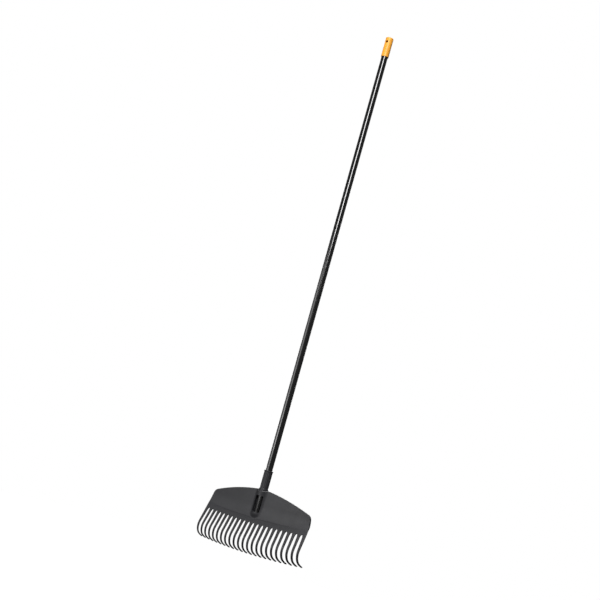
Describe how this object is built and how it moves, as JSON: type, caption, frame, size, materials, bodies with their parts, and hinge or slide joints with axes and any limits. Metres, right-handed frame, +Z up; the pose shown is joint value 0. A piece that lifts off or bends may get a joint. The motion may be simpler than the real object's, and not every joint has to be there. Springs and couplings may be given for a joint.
{
  "type": "leaf rake",
  "caption": "Leaf rake with a moulded comb head of hooked tines, a long coated tube handle and a sleeve cap with a hanging hole.",
  "frame": {"origin": "middle of the hanging hole in the end cap, on the axis of the handle", "axes": "+Z up along the handle from the head to the cap, +Y the side that the tine tips hook towards, +X across the head; the outer face of the head is -Y"},
  "size_m": [0.3992, 0.0608, 1.778],
  "materials": {
    "head_plastic": "fine matt texture, dark grey",
    "tube_coating": "smooth black powder coat, semi-gloss",
    "cap_plastic": "orange-yellow, satin",
    "screw_steel": "zinc plated",
    "plug_plastic": "matt black"
  },
  "bodies": {
    "root": {"rake_head": "head_plastic", "handle_tube": "tube_coating", "end_cap": "cap_plastic", "fixing_screw": "screw_steel", "tube_plug": "plug_plastic"}
  },
  "joints": []
}
